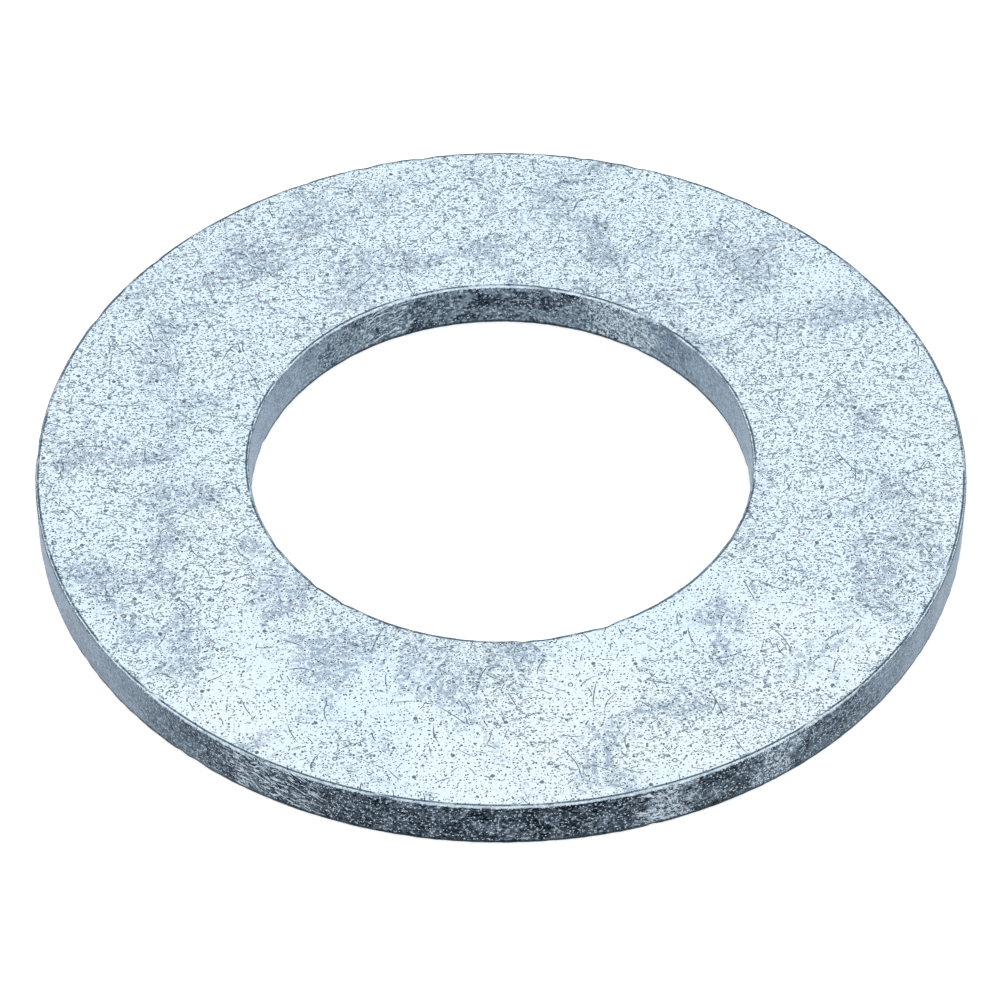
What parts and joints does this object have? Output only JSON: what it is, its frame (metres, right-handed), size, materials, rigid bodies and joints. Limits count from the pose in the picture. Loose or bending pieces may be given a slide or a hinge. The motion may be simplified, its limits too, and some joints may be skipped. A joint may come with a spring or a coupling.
{
  "type": "flat washer",
  "caption": "Thin round flat washer with a plain round bolt hole and lightly rounded edges, in zinc-plated steel.",
  "frame": {"origin": "centre of the washer's lower face, on the axis of the bolt hole", "axes": "+Z along the hole's axis, from the lower face to the upper face; X and Y lie in the lower face and are equal by symmetry"},
  "size_m": [0.0762, 0.0762, 0.0042],
  "materials": {
    "zinc_plated_steel": "bright zinc plate with a pale blue passivate, tumbled, finely pitted and scuffed"
  },
  "bodies": {
    "root": {"washer": "zinc_plated_steel"}
  },
  "joints": []
}
